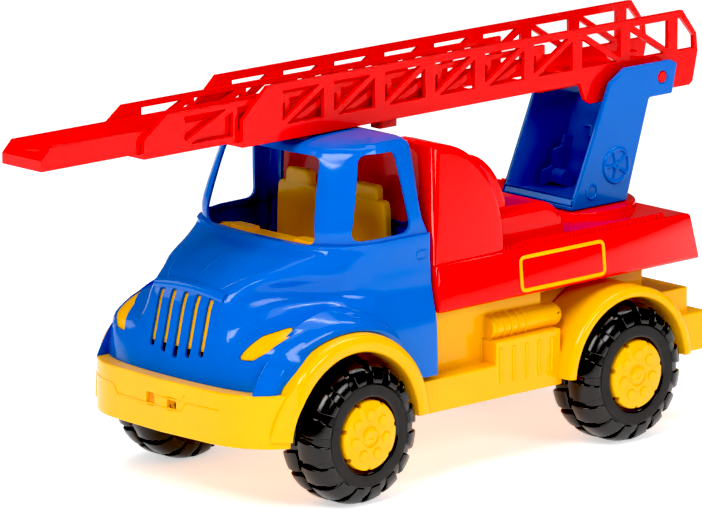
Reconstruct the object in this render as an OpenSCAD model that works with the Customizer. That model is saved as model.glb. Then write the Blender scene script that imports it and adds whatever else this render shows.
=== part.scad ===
// Toy fire engine: a moulded plastic truck with a slewing turret that carries
// a lifting ladder in three telescoping sections.
//
// Lengths are millimetres. In every module Y = 0 lies on the front axle, -Y is
// the front, +X is the vehicle's left side and Z = 0 is the floor it stands on.
// in_row_frame() then moves the whole outline's middle to the origin.

/* [Wheels] */
// Outer radius of a tyre
wheel_r = 30; // [25:0.5:36]
// Width of a tyre's tread
tread_w = 18; // [14:0.5:22]
// How far each side wall bulges past the tread
sidewall_bulge = 3.6; // [2:0.1:5]
// Radius of a hub, which fills its tyre's bore
hub_r = 14.8; // [12:0.1:18]
// Radius of an axle rod
axle_r = 2; // [1.5:0.1:3]
// Radial clearance of a hub on its axle
axle_play = 0.05; // [0.02:0.01:0.1]
// Distance between the two axles
wheelbase = 156; // [130:1:190]
// Distance between the middles of a left and a right tyre
track = 105; // [100:1:126]

/* [Chassis] */
// Wall thickness of the chassis moulding
chassis_wall = 2.2; // [1.6:0.1:3]
// Height of the chassis' lower edge above the floor
skirt_z = 29.5; // [25:0.5:34]
// Height of the front bumper
bumper_h = 22.5; // [18:0.5:28]
// How far the bumper's face stands ahead of the front axle
bumper_reach = 57.5; // [52:0.5:70]
// Corner radius of the bumper, seen from above
bumper_corner_r = 32.8; // [24:0.1:36]
// Gap between a front tyre and its arch
front_arch_gap = 4.7; // [3:0.1:8]
// Gap between a rear tyre and its arch
rear_arch_gap = 2.7; // [2:0.1:6]
// Width of a front arch's face
front_lip_w = 7.7; // [4:0.1:9]
// Width of a rear arch's face
rear_lip_w = 4.5; // [3:0.5:6]
// Side of each square hole for a pull cord
cord_hole = 5; // [3:0.5:7]
// Half width of the middle of the chassis, between the wheels
waist_hw = 45; // [40:1:50]
// Half width over the two side sills
sill_hw = 54; // [50:1:60]

/* [Cab] */
// Half width of the cab at the bottom of its windows
cab_hw = 50; // [44:0.5:56]
// Wall thickness of the cab shell
cab_wall = 2; // [1.6:0.1:3]
// How far the cab's rear wall stands behind the front axle
cab_rear = 50; // [44:1:58]
// Height of the cab's window sills
belt_z = 105.5; // [98:0.5:112]
// Gap between the cab roof and the ladder over it
roof_gap = 1.4; // [1:0.5:6]
// Width of one seat
seat_w = 27; // [20:1:32]

/* [Rear body] */
// Half width of the deck along its upper edge
deck_hw = 51.7; // [46:0.1:58]
// Height of the deck's side panels
deck_h = 20; // [14:0.5:26]
// How far the deck overhangs the rear axle
deck_overhang = 46; // [36:1:60]
// Wall thickness of the rear body
deck_wall = 2.2; // [1.6:0.1:3]
// Height of the turntable above the deck
turntable_h = 2; // [1:0.5:4]

/* [Turret] */
// How far the slewing axis stands behind the rear axle
turret_behind = 21; // [10:1:30]
// Half width of the turret over its side plates
turret_hw = 22; // [20:0.5:28]
// Thickness of a turret side plate
turret_wall = 2.3; // [1.8:0.1:3]
// Radius of the turret's king pin
king_r = 8; // [5:0.5:12]
// Radial clearance of the king pin in the deck
king_play = 0.06; // [0.02:0.01:0.1]
// Height of the ladder's pivot above the turntable
pivot_h = 51.7; // [40:0.1:62]
// How far the ladder's pivot stands behind the slewing axis
pivot_back = 37; // [30:0.5:44]
// Radius of the ladder's two pivot pegs
peg_r = 2.6; // [1.8:0.1:3.4]

/* [Ladder] */
// Length of the lowest section
base_len = 267; // [230:1:300]
// Length of the middle section
middle_len = 228; // [200:1:250]
// Length of the top section
top_len = 224; // [190:1:240]
// Half width of the lowest section
ladder_hw = 16.5; // [14:0.1:18]
// Thickness of the ladder's rails and floors
ladder_wall = 1.8; // [1.4:0.1:2.4]
// Height of the lowest section's rails
base_rail_h = 24; // [20:0.5:28]
// Height of the middle section's rails
middle_rail_h = 17; // [13:0.5:20]
// Height of the top section's rails
top_rail_h = 9.5; // [7:0.5:12]
// How far the middle section stands out of the lowest
middle_out = 52; // [0:1:90]
// How far the top section stands out of the middle
top_out = 53; // [0:1:90]
// Clearance between one section and the next, on every side
slide_gap = 0.4; // [0.3:0.1:0.8]
// Distance between two rungs
rung_pitch = 14.5; // [12:0.1:18]

/* [Hidden] */

yellow = "#f6c900";
blue = "#0a5fd6";
red = "#e01408";
black = "#1b1b1d";
steel = "#b4b8bc";

$fn = 64;
eps = 0.01;

// Wheels
tyre_w = tread_w + 2 * sidewall_bulge;
wheel_x = track / 2;
wheel_face = wheel_x + tyre_w / 2;
axle_z = wheel_r;
hub_out = tyre_w / 2 + 0.8;
hub_in = tyre_w / 2 - 2;
hub_cap_t = 3;
axle_end = wheel_x + hub_out - hub_cap_t - 1;

// Chassis
spine_hw = wheel_x - tyre_w / 2 - 5.5;
arch_face = wheel_face - 3.3;
front_arch_r = wheel_r + front_arch_gap;
rear_arch_r = wheel_r + rear_arch_gap;
front_arch_y = -3;
rear_arch_y = wheelbase + 0.5;
front_lip_r = front_arch_r + front_lip_w;
rear_lip_r = rear_arch_r + rear_lip_w;
bumper_top = skirt_z + bumper_h;
deck_z = axle_z + rear_lip_r + 4;
waist_y0 = front_arch_y + front_lip_r + 1;
waist_y1 = rear_arch_y - rear_lip_r - 1;
sill_z = skirt_z + 14.5;
arch_foot_z = skirt_z + 3.3;
locker_y0 = waist_y0 + 43;
locker_z = sill_z + 10;
tail_y = wheelbase + 50;
tail_hw = 50;
tail_z = skirt_z + 17;

// Rear body
deck_top = deck_z + deck_h;
deck_rear = wheelbase + deck_overhang;
deck_flare = 2;
turntable_z = deck_top + turntable_h;

// Turret and ladder
turret_y = wheelbase + turret_behind;
turret_gap = 0.3;
turret_z = turntable_z + turret_gap;
plate_hw = max(turret_hw, ladder_hw + turret_wall + 3.2);
turret_front = -18;
turret_rear = 15.5;
pivot_y = turret_y + pivot_back;
pivot_z = turntable_z + pivot_h;
turntable_r = norm([plate_hw, turret_front]) + 2;
ladder_z = pivot_z + 2.3;
ladder_rear = pivot_y + 27;
flange_drop = 9.5;
flange_len = 72;
middle_hw = ladder_hw - ladder_wall - slide_gap;
top_hw = middle_hw - ladder_wall - slide_gap;
middle_z = ladder_z + ladder_wall + slide_gap;
top_z = middle_z + ladder_wall + slide_gap;
base_front = ladder_rear - base_len;
middle_front = base_front - middle_out;
top_front = middle_front - top_out;

// Cab
roof_z = ladder_z - roof_gap;
hump_front = cab_rear + 0.6;

// Middle of the whole outline, along Y
middle_y = (top_front + ladder_rear) / 2;

function arc(c, r, a0, a1, n = 12) =
    [for (i = [0:n]) c + r * [cos(a0 + (a1 - a0) * i / n), sin(a0 + (a1 - a0) * i / n)]];

module in_row_frame() {
    translate([0, -middle_y, 0]) children();
}

// Draws its children on the left side and mirrored on the right side
module both_sides() {
    children();
    mirror([1, 0, 0]) children();
}

// Box from one corner to the opposite one
module span(low, high) {
    translate(low) cube(high - low);
}

// Cylinder along X, from x0 to x1, at the given Y and Z
module bar_x(r, x0, x1, y, z) {
    translate([x0, y, z]) rotate([0, 90, 0]) cylinder(r = r, h = x1 - x0);
}

// Extrudes a side view, drawn with Y to the right and Z upwards, from x0 to x1
module side_view(x0, x1) {
    translate([x0, 0, 0]) rotate([90, 0, 90]) linear_extrude(x1 - x0) children();
}

// ---- Wheels ----

// Places a wheel's parts, drawn round X with the outer face towards +X
module at_wheel(y, side) {
    in_row_frame() translate([side * wheel_x, y, axle_z]) scale([side, 1, 1]) children();
}

module turned(points) {
    rotate([90, 0, 90]) rotate_extrude($fn = 96) polygon(points);
}

module tyre() {
    half = tyre_w / 2;
    tread = tread_w / 2;
    mid_r = (hub_r + wheel_r) / 2;
    color(black) turned([
        [hub_r, -hub_in], [hub_r, hub_out - 1], [hub_r + 2.4, half - 0.5], [mid_r, half],
        [wheel_r - 3.5, tread + 1.8], [wheel_r - 1.2, tread + 0.9], [wheel_r, tread - 0.6],
        [wheel_r, 0.6 - tread], [wheel_r - 1.2, -tread - 0.9], [wheel_r - 3.5, -tread - 1.8],
        [mid_r, -half], [hub_r + 2.4, 0.5 - half]]);
}

module hub() {
    rim_t = 1.8;
    boss_r = axle_r + 2.6;
    color(yellow) difference() {
        union() {
            turned([[0, hub_out - hub_cap_t], [0, hub_out], [hub_r - 1, hub_out],
                [hub_r, hub_out - 1], [hub_r, -hub_in], [hub_r - rim_t, -hub_in],
                [hub_r - rim_t, hub_out - hub_cap_t]]);
            bar_x(boss_r, -hub_in - 3, hub_out - hub_cap_t + eps, 0, 0);
        }
        bar_x(axle_r + axle_play, -hub_in - 4, axle_end - wheel_x + 0.5, 0, 0);
    }
}

module axle(y) {
    color(steel) in_row_frame() bar_x(axle_r, -axle_end, axle_end, y, axle_z);
}

module tyre_front_left() { at_wheel(0, 1) tyre(); }
module tyre_front_right() { at_wheel(0, -1) tyre(); }
module tyre_rear_left() { at_wheel(wheelbase, 1) tyre(); }
module tyre_rear_right() { at_wheel(wheelbase, -1) tyre(); }
module hub_front_left() { at_wheel(0, 1) hub(); }
module hub_front_right() { at_wheel(0, -1) hub(); }
module hub_rear_left() { at_wheel(wheelbase, 1) hub(); }
module hub_rear_right() { at_wheel(wheelbase, -1) hub(); }
module front_axle() { axle(0); }
module rear_axle() { axle(wheelbase); }

// ---- Chassis ----

// Plan of the bumper's block, drawn in by inset
module bumper_plan(inset) {
    corner = [arch_face - bumper_corner_r, bumper_corner_r - bumper_reach + 1.4];
    r = bumper_corner_r - inset;
    back = front_arch_y;
    polygon(concat(
        [[0, inset - bumper_reach]], arc(corner, r, -90, 0),
        [[arch_face - inset, back], [inset - arch_face, back]],
        [for (p = arc(corner, r, 0, -90)) [-p.x, p.y]]));
}

// Block from the skirt upwards, drawn in by inset on every side but the bottom
module block(hw, y0, y1, top, inset) {
    span([inset - hw, y0 + inset, skirt_z - inset], [hw - inset, y1 - inset, top - inset]);
}

// The chassis moulding without its arches, drawn in by inset
module chassis_block(inset) {
    translate([0, 0, skirt_z - inset]) linear_extrude(bumper_h) bumper_plan(inset);
    block(spine_hw, front_arch_y - 2 * inset, cab_rear + 5, bumper_top, inset);
    block(spine_hw, cab_rear, tail_y - 16, deck_z, inset);
    block(waist_hw, cab_rear, waist_y1, deck_z, inset);
    block(sill_hw, waist_y0, waist_y1 + 4, sill_z, inset);
    block(sill_hw, locker_y0, waist_y1 + 3, locker_z, inset);
    block(tail_hw - 4, rear_arch_y, tail_y, tail_z + 11, inset);
    block(tail_hw, rear_arch_y + 20, tail_y + 8, tail_z, inset);
}

// Space round the wheels, drawn out by grow
module wheel_wells(grow) {
    both_sides() for (w = [[front_arch_y, front_arch_r], [rear_arch_y, rear_arch_r]]) {
        bar_x(w[1] + grow, spine_hw - grow, wheel_face + 1, w[0], axle_z);
        span([spine_hw - grow, w[0] - w[1] - grow, 0], [wheel_face + 1, w[0] + w[1] + grow, axle_z]);
    }
}

// Half ring over a wheel
module arch_ring(y, r0, r1, x0, x1) {
    intersection() {
        difference() {
            bar_x(r1, x0, x1, y, axle_z);
            bar_x(r0, x0 - 1, x1 + 1, y, axle_z);
        }
        span([x0 - 1, y - r1 - 1, arch_foot_z], [x1 + 1, y + r1 + 1, axle_z + r1 + 1]);
    }
}

// Mudguard with its wider outer lip
module arch(y, r, lip_r) {
    arch_ring(y, r, r + chassis_wall, spine_hw - chassis_wall, arch_face);
    arch_ring(y, r, lip_r, arch_face - chassis_wall, arch_face);
}

module air_tank() {
    tank_r = 5.2;
    at = [waist_hw + 1, locker_y0 + 1, locker_z + 4.5];
    len = waist_y1 - locker_y0 + 3;
    translate(at) rotate([-90, 0, 0]) cylinder(r = tank_r, h = len);
    translate(at + [0, len, 0]) sphere(r = tank_r);
}

module chassis() {
    hole_x = 6.5 - cord_hole / 2;
    hole_z = skirt_z + 10.5;
    color(yellow) in_row_frame() {
        difference() {
            chassis_block(0);
            difference() {
                chassis_block(chassis_wall);
                wheel_wells(chassis_wall);
            }
            wheel_wells(0);
            both_sides() span([hole_x, -bumper_reach - 1, hole_z],
                [hole_x + cord_hole, 5 - bumper_reach, hole_z + cord_hole]);
            for (y = [0, wheelbase]) bar_x(axle_r, -wheel_x, wheel_x, y, axle_z);
        }
        both_sides() difference() {
            air_tank();
            chassis_block(0);
        }
    }
}

// Arches: what stands out of the chassis' block
module front_arches() {
    color(yellow) in_row_frame() difference() {
        both_sides() arch(front_arch_y, front_arch_r, front_lip_r);
        chassis_block(0);
    }
}

module rear_arches() {
    color(yellow) in_row_frame() difference() {
        both_sides() arch(rear_arch_y, rear_arch_r, rear_lip_r);
        chassis_block(0);
    }
}

// ---- Cab ----

// Waterlines of the cab, each a height and the outline from the middle of the
// front round to the door: 0 is the bumper, 1 the window sills, 2 the roof.
cab_lines = [
    [-0.15, [[0, -52.5], [15, -52.2], [25, -51.5], [34, -50], [44, -46.5], [53, -40], [58, -30], [58, -10], [55, 20]]],
    [0.18, [[0, -49.3], [15, -48.8], [25, -48], [34, -47], [44, -44.5], [52, -38.5], [56.5, -28], [56, -8], [54.5, 20]]],
    [0.32, [[0, -47.6], [15, -47], [24, -46.2], [30, -44.5], [38, -43], [46, -40.8], [51.5, -35], [55, -20], [54, 20]]],
    [0.45, [[0, -46], [15, -45.3], [23.5, -44], [27.5, -40], [32, -35], [40, -32], [47, -28], [52, -17], [52.5, 20]]],
    [0.58, [[0, -44], [15, -43.4], [22.5, -42], [26, -37.5], [30, -29], [35, -19], [41, -8], [47.5, 3], [51, 20]]],
    [0.69, [[0, -40.6], [14, -39.8], [21.5, -38.5], [25.5, -35], [29, -27], [33.5, -17], [39, -7], [46, 4], [50.5, 20]]],
    [0.79, [[0, -32.6], [12, -31.8], [20, -30.5], [26, -28.5], [30.5, -25], [35, -17], [40, -7], [46, 3], [50, 20]]],
    [0.9, [[0, -20.5], [12, -19.5], [20, -18], [27, -15.5], [33, -12], [38, -7], [42, -1], [46.5, 6], [50, 20]]],
    [0.953, [[0, -11], [14, -10], [22, -8.5], [29, -6.5], [34, -4.5], [38.7, -2.3], [43, 2], [47, 9], [50, 20]]],
    [1, [[0, -6], [14, -5.5], [24, -4.5], [33, -3.2], [38.7, -1.8], [42.5, 2], [45.5, 6], [48, 12], [49.8, 20]]],
    [1.24, [[0, -4], [14, -3.5], [24, -2.8], [32, -1.8], [37, -0.3], [41, 3], [44, 7], [46.5, 13], [48.5, 20]]],
    [1.86, [[0, 3], [14, 3.5], [22, 4.5], [27, 5.5], [31, 7.5], [35, 10.5], [39, 14], [42, 18], [44, 24]]],
    [1.97, [[0, 7], [12, 7.5], [20, 8.5], [25, 10.5], [29, 13], [33, 15.5], [37, 19], [40, 22], [42, 26]]],
    [2, [[0, 12], [9, 12.5], [16, 13.5], [20, 14.5], [24, 16.5], [28, 19], [32, 21.5], [35.5, 24.5], [38, 28]]]];

// Height of a waterline above the floor
function line_z(t) = t < 1
    ? bumper_top + t * (belt_z - bumper_top)
    : belt_z + (t - 1) * (roof_z - belt_z);

// Whole outline of a waterline: the left half, round the rear corner, then the right
function full_line(line) =
    let (
        side = [for (p = line[1]) [p.x * cab_hw / 50, p.y]],
        last = side[len(side) - 1],
        above = max(0, line[0] - 1),
        rear = cab_rear - (above > 0 ? 2.5 + 3 * above : 0) - 15 * max(0, above - 0.9),
        corner = above > 0 ? 3.5 : 2.4,
        half = concat(side, [[last.x, rear - corner], [last.x - corner, rear], [0, rear]]),
        n = len(half))
    concat(half, [for (i = [n - 2:-1:1]) [-half[i].x, half[i].y]]);

// An outline with every edge drawn in by inset
function drawn_in(points, inset) =
    let (n = len(points))
    [for (i = [0:n - 1])
        let (
            a = points[i] - points[(i + n - 1) % n],
            b = points[(i + 1) % n] - points[i],
            na = [-a.y, a.x] / norm(a),
            nb = [-b.y, b.x] / norm(b))
        points[i] + inset * (na + nb) / (1 + na * nb)];

// Solid of the cab's outside, with every face drawn in by inset
module cab_block(inset) {
    rings = [for (line = cab_lines)
        let (z = line_z(line[0]) - inset)
        [for (p = drawn_in(full_line(line), inset)) [p.x, p.y, z]]];
    n = len(rings[0]);
    last = (len(rings) - 1) * n;
    polyhedron(
        points = [for (ring = rings) each ring],
        faces = concat(
            [[for (i = [0:n - 1]) i]],
            [for (k = [0:len(rings) - 2]) for (i = [0:n - 1])
                let (a = k * n + i, b = k * n + (i + 1) % n)
                each i < n / 2 ? [[a, a + n, b], [b, a + n, b + n]] : [[a, a + n, b + n], [a, b + n, b]]],
            [[for (i = [n - 1:-1:0]) last + i]]));
}

// Front view of one lamp, grown all round by grow
module lamp_view(grow) {
    polygon([[35 - grow, bumper_top + 12.6 - grow], [42, bumper_top + 14.5 - grow],
        [47 + grow, bumper_top + 18 - grow], [49.2 + grow, bumper_top + 22.4],
        [46, bumper_top + 24 + grow], [40, bumper_top + 21.5 + grow]]);
}

// Prism along Y through the nose, from y0 to y1, with a front view as its section
module through_nose(y0, y1) {
    translate([0, y1, 0]) rotate([90, 0, 0]) linear_extrude(y1 - y0) children();
}

module cab_shell() {
    sill = belt_z + 1.2;
    screen_sill = belt_z - 1;
    color(blue) in_row_frame() difference() {
        cab_block(0);
        cab_block(cab_wall);
        // Underside, lower behind the front arches, and the arches themselves
        span([-90, -90, 0], [90, front_arch_y + 30, bumper_top]);
        span([-spine_hw - 0.6, front_arch_y + 20, 0], [spine_hw + 0.6, 90, bumper_top + 0.4]);
        span([-90, front_arch_y + 25, 0], [90, 90, sill_z + 2]);
        both_sides() {
            bar_x(front_lip_r, spine_hw - 8, wheel_face + 5, front_arch_y, axle_z);
            side_view(cab_hw - 24, cab_hw + 10) polygon([
                [7, sill], [39, sill], [34.5, roof_z - 4.5], [18, roof_z - 4.5]]);
            through_nose(-70, -15) lamp_view(0.1);
        }
        // Windscreen and rear window
        through_nose(-20, 16) polygon([
            [-34, screen_sill], [34, screen_sill], [29, roof_z - 5], [-29, roof_z - 5]]);
        span([10 - cab_hw, cab_rear - 10, sill], [cab_hw - 10, cab_rear + 5, roof_z - 7]);
        // Grille slots
        for (i = [-2:2]) through_nose(-70, -30) grille_slot(i);
    }
}

module grille_slot(i) {
    slot_w = 2.6;
    slot_pitch = 7.6;
    translate([i * slot_pitch - slot_w / 2, bumper_top + 8 + abs(i) * 0.8])
        square([slot_w, deck_top - bumper_top - 13.5 - abs(i) * 1.2]);
}

module head_lamps() {
    color(yellow) in_row_frame() intersection() {
        difference() {
            cab_block(0);
            cab_block(3);
            // Kept clear of arches that reach up this far
            both_sides() bar_x(front_lip_r + 0.3, spine_hw, 90, front_arch_y, axle_z);
        }
        both_sides() through_nose(-70, -15) lamp_view(0);
    }
}

// Panel that follows the nose's slope, close behind the slots
module grille_insert() {
    face = [for (line = [for (i = [5:-1:0]) cab_lines[i]])
        [line[1][2].y + cab_wall + 0.5, line_z(line[0]) - 2]];
    color(yellow) in_row_frame() intersection() {
        side_view(-19, 19) polygon(concat(face, [for (i = [5:-1:0]) face[i] + [1.8, 0]]));
        span([-20, -60, bumper_top + 3], [20, 0, deck_top - 4]);
    }
}

module cab_interior() {
    seat_x = 20.5;
    floor_z = axle_z + front_arch_r + chassis_wall + 0.5;
    back_y = cab_rear - 11;
    color(yellow) in_row_frame() {
        // Floor over the front arches, on a box that stands on the chassis
        span([-38, 10, floor_z], [38, cab_rear - 4, floor_z + 2]);
        span([-spine_hw + 6, 12, bumper_top], [spine_hw - 6, cab_rear - 6, floor_z + eps]);
        both_sides() {
            // Cushion
            span([seat_x - seat_w / 2, back_y - 18, floor_z + 2 - eps],
                [seat_x + seat_w / 2, back_y + 4, floor_z + 14]);
            // Backrest and headrest, seen from the front
            through_nose(back_y, back_y + 4) polygon([
                [seat_x - seat_w / 2, floor_z + 13], [seat_x + seat_w / 2, floor_z + 13],
                [seat_x + seat_w / 2 - 2, belt_z + 9], [seat_x + seat_w / 2 - 4, belt_z + 12],
                [seat_x - seat_w / 2 + 4, belt_z + 12], [seat_x - seat_w / 2 + 2, belt_z + 9]]);
            through_nose(back_y, back_y + 4) polygon([
                [seat_x - 8.5, belt_z + 11.9], [seat_x + 8.5, belt_z + 11.9],
                [seat_x + 7.5, belt_z + 18], [seat_x - 7.5, belt_z + 18]]);
        }
        // Dashboard
        span([-38, 10, floor_z + 2 - eps], [38, 12, belt_z - 3]);
        span([-33, 2, belt_z - 6], [33, 12, belt_z - 2.5]);
    }
}

// ---- Rear body ----

// Side view of the stepped hump behind the cab; lower tiers are wider along Y
module hump_tier(hw, top, ridge, foot, inset) {
    y0 = hump_front + inset;
    side_view(inset - hw, hw - inset) polygon(concat(
        [[y0, deck_top - deck_wall - 1], [y0, top - inset]],
        [for (i = [0:8]) [ridge + (foot - inset - ridge) * sin(i * 90 / 8),
            deck_top + (top - inset - deck_top) * cos(i * 90 / 8)]],
        [[foot - inset, deck_top - deck_wall - 1]]));
}

module hump(inset) {
    hump_tier(deck_hw / 2, roof_z - 1, hump_front + 18, hump_front + 27, inset);
    hump_tier(deck_hw - 2, roof_z - 4.3, hump_front + 4, hump_front + 43, inset);
    hump_tier(deck_hw - 14, roof_z - 14, hump_front + 31, hump_front + 58, inset);
    hump_tier(deck_hw - 10, deck_top + 15, hump_front + 72, hump_front + 86, inset);
}

// The deck's block with sloping sides and tail, every face drawn in by inset
module deck_block(inset) {
    low = deck_hw + deck_flare - inset;
    high = deck_hw - inset;
    floor_z = inset > 0 ? deck_z - 1 : deck_z;
    top = deck_top - inset;
    intersection() {
        translate([0, deck_rear + 10, 0]) rotate([90, 0, 0]) linear_extrude(deck_rear)
            polygon([[-low, floor_z], [low, floor_z], [high, top], [-high, top]]);
        side_view(-low, low) polygon([
            [hump_front + inset, floor_z], [deck_rear + 4 - inset, floor_z],
            [deck_rear - inset, top], [hump_front + inset, top]]);
    }
}

module rear_body() {
    color(red) in_row_frame() {
        difference() {
            union() {
                deck_block(0);
                hump(0);
                translate([0, turret_y, deck_top - eps])
                    cylinder(r = turntable_r, h = turntable_h + eps, $fn = 96);
            }
            deck_block(deck_wall);
            hump(deck_wall);
            translate([0, turret_y, deck_z]) cylinder(r = king_r + king_play, h = 60);
        }
        both_sides() {
            // Ribs that stand on the chassis
            span([spine_hw - 4, hump_front + deck_wall - eps, deck_z],
                [spine_hw - 2, tail_y - 18, deck_top - deck_wall + eps]);
            // Toothed rails along the deck's edges
            span([deck_hw - 5, hump_front + 40, deck_top - eps],
                [deck_hw - 2.5, deck_rear - 12, deck_top + 1.5]);
            // Rest for the ladder
            span([5, hump_front + 6, roof_z - 14], [11, hump_front + 16, ladder_z - 0.3]);
        }
    }
}

// ---- Turret ----

module turret_plate_view() {
    polygon([[turret_front, turret_z], [turret_rear, turret_z], [turret_rear + 13.5, pivot_z - 8],
        [pivot_back + 6, pivot_z - 8], [pivot_back + 9, pivot_z + 5], [pivot_back + 5, pivot_z + 7],
        [turret_rear - 1.5, pivot_z + 7], [turret_front + 23, pivot_z + 1.5]]);
}

module turret() {
    color(blue) in_row_frame() translate([0, turret_y, 0]) {
        difference() {
            union() {
                both_sides() side_view(plate_hw - turret_wall, plate_hw) turret_plate_view();
                // Floor, back wall and front lip
                span([-plate_hw, turret_front, turret_z], [plate_hw, turret_rear, turret_z + 2.2]);
                side_view(-plate_hw + 1, plate_hw - 1) polygon([
                    [turret_rear - 2.4, turret_z], [turret_rear, turret_z],
                    [turret_rear + 12.2, pivot_z - 12], [turret_rear + 9.8, pivot_z - 12]]);
                side_view(-plate_hw + 1, plate_hw - 1) polygon([
                    [turret_front, turret_z], [turret_front + 2.2, turret_z],
                    [turret_front + 4.2, turret_z + 5], [turret_front + 2, turret_z + 5]]);
            }
            both_sides() bar_x(peg_r + 0.05, plate_hw - turret_wall - 1, plate_hw + 1, pivot_back, pivot_z);
        }
        // King pin with its catch below the deck
        translate([0, 0, deck_top - deck_wall - 3]) cylinder(r = king_r, h = turret_z - deck_top + deck_wall + 3 + eps);
        translate([0, 0, deck_top - deck_wall - 3]) cylinder(r = king_r + 2, h = 3 - turret_gap);
    }
}

// ---- Ladder ----

// One bay's two openings on either side of its brace, from front to rear;
// rise is 1 where the brace climbs towards the rear and -1 where it falls
module bay(y0, y1, z0, z1, rise) {
    lean = (y1 - y0) / (z1 - z0);
    up = 1.6;
    along = up * lean;
    foot = rise > 0 ? y0 : y1;
    head = rise > 0 ? y1 : y0;
    polygon([[foot, z0 + up], [foot, z1], [head - rise * along, z1]]);
    polygon([[head, z1 - up], [head, z0], [foot + rise * along, z0]]);
}

// One rail seen from the side: first and last are its end posts' middles
module rail_view(outline, first, last, pitch, post, z0, z1, falling) {
    count = floor((last - first) / pitch + eps);
    difference() {
        polygon(outline);
        for (i = [0:count - 1])
            bay(last - (i + 1) * pitch + post / 2, last - i * pitch - post / 2, z0, z1,
                i < falling ? -1 : 1);
    }
}

// Rungs between a section's rails, and the flanges along the rails' feet
module ladder_floor(front, z, hw, len) {
    inner = hw - ladder_wall;
    color(red) in_row_frame() translate([0, front, z]) {
        both_sides() span([inner - 2.4, 0, 0], [inner, len, ladder_wall]);
        for (y = [0 : rung_pitch : len - 2.4])
            span([-inner, y, 0], [inner, y + 2.4, ladder_wall]);
    }
}

module base_rails() {
    h = base_rail_h;
    post = 6;
    last = base_len - 15.5;
    // From the nose over the top to the rear, then round the hanging flange
    outline = [[0, 0], [0, 11.5], [14, h], [base_len - 9.5, h], [base_len - 1, 13],
        [base_len, 5], [base_len - 3, -8], [base_len - 5, -flange_drop],
        [base_len - flange_len + 6, -flange_drop], [base_len - flange_len + 3, -flange_drop + 2],
        [base_len - flange_len, 0]];
    color(red) in_row_frame() translate([0, base_front, ladder_z]) both_sides() difference() {
        side_view(ladder_hw - ladder_wall, ladder_hw)
            rail_view(outline, 18, last, 2 * rung_pitch, post, 6.7, h - 3.3, 2);
        side_view(0, ladder_hw + 1) polygon([
            [last + post / 2, 6.7], [base_len - 2.5, 6.7], [base_len - 2.8, 12],
            [base_len - 10.5, h - 3.3], [last + post / 2, h - 3.3]]);
    }
}

module base_floor() { ladder_floor(base_front, ladder_z, ladder_hw, base_len - 8); }

// Bosses on the lowest section's rails, with the pegs that the turret holds
module pivot_pegs() {
    color(red) in_row_frame() both_sides() {
        bar_x(peg_r + 2.4, ladder_hw, plate_hw - turret_wall - 0.3, pivot_y, pivot_z);
        bar_x(peg_r, ladder_hw, plate_hw - 0.2, pivot_y, pivot_z);
    }
}

module middle_rails() {
    h = middle_rail_h;
    outline = [[0, 0], [0, 8], [12.5, h], [middle_len, h], [middle_len, 0]];
    color(red) in_row_frame() translate([0, middle_front, middle_z]) both_sides()
        side_view(middle_hw - ladder_wall, middle_hw)
            rail_view(outline, 15, middle_len - 4, 2 * rung_pitch, 2.8, 3, h - 2.4, 0);
}

module middle_floor() { ladder_floor(middle_front, middle_z, middle_hw, middle_len); }

module top_rails() {
    h = top_rail_h;
    color(red) in_row_frame() translate([0, top_front, top_z]) both_sides()
        side_view(top_hw - ladder_wall, top_hw)
            polygon([[0, 0], [0, 4.6], [5, h], [top_len, h], [top_len, 0]]);
}

module top_floor() {
    ladder_floor(top_front, top_z, top_hw, top_len);
    // Bar across the tip
    color(red) in_row_frame() translate([0, top_front, top_z])
        span([ladder_wall - top_hw, 0, 0], [top_hw - ladder_wall, 1.8, 4.6]);
}

chassis();
front_arches();
rear_arches();
front_axle();
rear_axle();
cab_shell();
cab_interior();
head_lamps();
grille_insert();
rear_body();
turret();
base_rails();
base_floor();
pivot_pegs();
middle_rails();
middle_floor();
top_rails();
top_floor();
tyre_front_left();
tyre_front_right();
tyre_rear_left();
tyre_rear_right();
hub_front_left();
hub_front_right();
hub_rear_left();
hub_rear_right();
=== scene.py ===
from math import asin, cos, degrees, hypot, pi, radians, sin, tan
import bpy
import bmesh
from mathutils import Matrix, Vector
from mathutils.bvhtree import BVHTree


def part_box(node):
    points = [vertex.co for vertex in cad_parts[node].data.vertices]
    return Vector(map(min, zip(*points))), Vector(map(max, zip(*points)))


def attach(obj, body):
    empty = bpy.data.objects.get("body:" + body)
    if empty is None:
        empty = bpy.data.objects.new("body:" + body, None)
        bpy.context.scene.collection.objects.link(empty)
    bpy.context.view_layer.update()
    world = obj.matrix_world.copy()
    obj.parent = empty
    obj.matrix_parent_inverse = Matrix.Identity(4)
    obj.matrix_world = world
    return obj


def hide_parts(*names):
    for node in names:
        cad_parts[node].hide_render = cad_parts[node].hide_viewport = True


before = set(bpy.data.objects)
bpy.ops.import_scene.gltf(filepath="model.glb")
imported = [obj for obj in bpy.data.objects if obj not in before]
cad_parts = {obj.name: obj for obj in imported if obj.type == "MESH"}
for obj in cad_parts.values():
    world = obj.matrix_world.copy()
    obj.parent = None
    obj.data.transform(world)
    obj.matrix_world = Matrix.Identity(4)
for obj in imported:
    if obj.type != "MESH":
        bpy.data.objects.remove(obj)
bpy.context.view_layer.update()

# Sizes are millimetres. Y = 0 lies on the front axle, -Y is the front, +X the vehicle's left.
axleLow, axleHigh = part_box("front_axle")
axleShift = (axleLow.y + axleHigh.y) / 2 * 1000
rearLow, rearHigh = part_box("rear_axle")
wheelbase = (rearLow.y + rearHigh.y) / 2 * 1000 - axleShift
axleZ = (axleLow.z + axleHigh.z) / 2 * 1000
tyreLow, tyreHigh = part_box("tyre_front_left")
wheelX = (tyreLow.x + tyreHigh.x) / 2 * 1000


def boxOf(node):
    # a CAD node's corners in millimetres from the front axle
    low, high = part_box(node)
    shift = Vector((0, axleShift, 0))
    return low * 1000 - shift, high * 1000 - shift


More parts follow.
